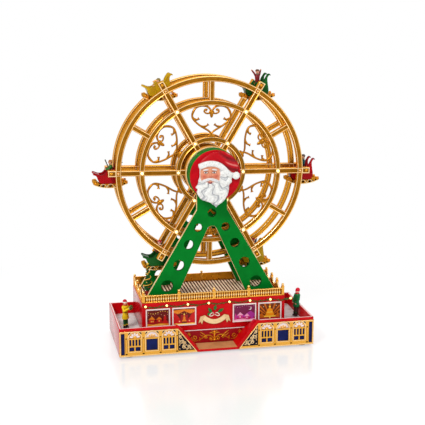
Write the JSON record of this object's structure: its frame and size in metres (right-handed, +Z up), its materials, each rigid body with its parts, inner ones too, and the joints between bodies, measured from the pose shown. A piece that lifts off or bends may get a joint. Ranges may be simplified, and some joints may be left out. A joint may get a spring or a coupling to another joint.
{
  "type": "musical ferris wheel toy",
  "caption": "Table-top festive ferris wheel with lit spoked wheel, hanging sleighs, green A-frames and a stepped red and gold base.",
  "frame": {"origin": "bottom centre of the whole object, at the feet", "axes": "+Z up, front faces -Y, the wheel turns about Y"},
  "size_m": [0.2772, 0.1088, 0.3291],
  "materials": {
    "red_plastic": "glossy red lacquer on moulded plastic",
    "dark_red_plastic": "deep red satin lacquer",
    "green_plastic": "satin kelly green lacquer",
    "gold_plastic": "antique gold paint with brown in the grooves",
    "facade_gold": "light gold paint, satin",
    "navy_plastic": "navy enamel, satin",
    "white_trim": "warm white enamel",
    "black_plastic": "fine matt texture",
    "cream_deck": "cream paint, brown stain in the grooves",
    "snow": "sparkling snow paint",
    "ribbon_cream": "cream enamel with brown edge",
    "picture_print": "printed panel with a raised white border",
    "holly_green": "green enamel",
    "lamp": "warm light-emitting diode lens",
    "steel": "drawn bright steel",
    "nylon": "natural nylon",
    "board_green": "solder-masked circuit board",
    "head_white": "hand painted resin, white hair and fur",
    "skin": "hand painted resin, flesh tone",
    "sleigh_red": "glossy red",
    "sleigh_green": "glossy green",
    "sleigh_yellow": "glossy golden yellow",
    "rider_paint": "hand painted riders",
    "figure_paint": "hand painted standing figures",
    "fir_green": "green bristle texture with snow"
  },
  "bodies": {
    "base": {"base_tray": "red_plastic", "bottom_plate": "black_plastic", "facade_left": "facade_gold", "facade_right": "facade_gold", "recess_panel": "dark_red_plastic", "deck_box": "red_plastic", "picture_1": "picture_print", "picture_2": "picture_print", "picture_3": "picture_print", "picture_4": "picture_print", "ribbon_banner": "ribbon_cream", "holly_sprig": "holly_green", "garland_lights": "holly_green", "deck": "cream_deck", "rail_front": "gold_plastic", "rail_back": "gold_plastic", "rail_left": "gold_plastic", "rail_right": "gold_plastic", "a_frame_front": "green_plastic", "a_frame_rear": "green_plastic", "medallion_drum": "green_plastic", "medallion_disc": "dark_red_plastic", "rear_cap": "green_plastic", "medallion_head": "head_white", "drive_motor": "steel", "figure_left": "figure_paint", "figure_right": "figure_paint", "fir_tree": "fir_green", "battery_box": "black_plastic", "circuit_board": "board_green", "speaker": "black_plastic"},
    "wheel": {"wheel_frame_front": "gold_plastic", "wheel_frame_rear": "gold_plastic", "lamp_loom": "lamp", "axle": "steel", "axle_gear": "nylon"},
    "pinion": {"drive_pinion": "nylon"},
    "battery_lid": {"battery_door": "red_plastic"},
    "switch_knob": {"power_switch": "black_plastic"},
    "sleigh_car_1": {"sleigh_1": "sleigh_red", "runner_1": "gold_plastic", "rider_1": "rider_paint"},
    "sleigh_car_2": {"sleigh_2": "sleigh_green", "runner_2": "gold_plastic", "rider_2": "rider_paint"},
    "sleigh_car_3": {"sleigh_3": "sleigh_yellow", "runner_3": "gold_plastic", "rider_3": "rider_paint"},
    "sleigh_car_4": {"sleigh_4": "sleigh_red", "runner_4": "gold_plastic", "rider_4": "rider_paint"},
    "sleigh_car_5": {"sleigh_5": "sleigh_green", "runner_5": "gold_plastic", "rider_5": "rider_paint"},
    "sleigh_car_6": {"sleigh_6": "sleigh_yellow", "runner_6": "gold_plastic", "rider_6": "rider_paint"}
  },
  "joints": [
    {"name": "wheel_turn", "type": "hinge", "parent": "base", "child": "wheel", "pos_m": [0, 0.0122, 0.2096], "axis": [0, 1, 0], "continuous": true},
    {"name": "pinion_turn", "type": "hinge", "parent": "base", "child": "pinion", "pos_m": [0, -0.019, 0.1886], "axis": [0, 1, 0], "continuous": true},
    {"name": "battery_lid_hinge", "type": "hinge", "parent": "base", "child": "battery_lid", "pos_m": [-0.031, 0.0544, 0.005], "axis": [-1, 0, 0], "range_deg": [0, 95]},
    {"name": "switch_slide", "type": "slide", "parent": "base", "child": "switch_knob", "axis": [1, 0, 0], "range_m": [0, 0.004]},
    {"name": "sleigh_swing_1", "type": "hinge", "parent": "wheel", "child": "sleigh_car_1", "pos_m": [0.11799, 0.0122, 0.20795], "axis": [0, 1, 0], "continuous": true},
    {"name": "sleigh_swing_2", "type": "hinge", "parent": "wheel", "child": "sleigh_car_2", "pos_m": [0.06042, 0.0122, 0.31096], "axis": [0, 1, 0], "continuous": true},
    {"name": "sleigh_swing_3", "type": "hinge", "parent": "wheel", "child": "sleigh_car_3", "pos_m": [-0.05757, 0.0122, 0.31261], "axis": [0, 1, 0], "continuous": true},
    {"name": "sleigh_swing_4", "type": "hinge", "parent": "wheel", "child": "sleigh_car_4", "pos_m": [-0.11799, 0.0122, 0.21125], "axis": [0, 1, 0], "continuous": true},
    {"name": "sleigh_swing_5", "type": "hinge", "parent": "wheel", "child": "sleigh_car_5", "pos_m": [-0.06042, 0.0122, 0.10824], "axis": [0, 1, 0], "continuous": true},
    {"name": "sleigh_swing_6", "type": "hinge", "parent": "wheel", "child": "sleigh_car_6", "pos_m": [0.05757, 0.0122, 0.10659], "axis": [0, 1, 0], "continuous": true}
  ],
  "couplings": [
    {"joint": "pinion_turn", "follows": "wheel_turn", "ratio": -3},
    {"joint": "sleigh_swing_1", "follows": "wheel_turn", "ratio": -1},
    {"joint": "sleigh_swing_2", "follows": "wheel_turn", "ratio": -1},
    {"joint": "sleigh_swing_3", "follows": "wheel_turn", "ratio": -1},
    {"joint": "sleigh_swing_4", "follows": "wheel_turn", "ratio": -1},
    {"joint": "sleigh_swing_5", "follows": "wheel_turn", "ratio": -1},
    {"joint": "sleigh_swing_6", "follows": "wheel_turn", "ratio": -1}
  ]
}
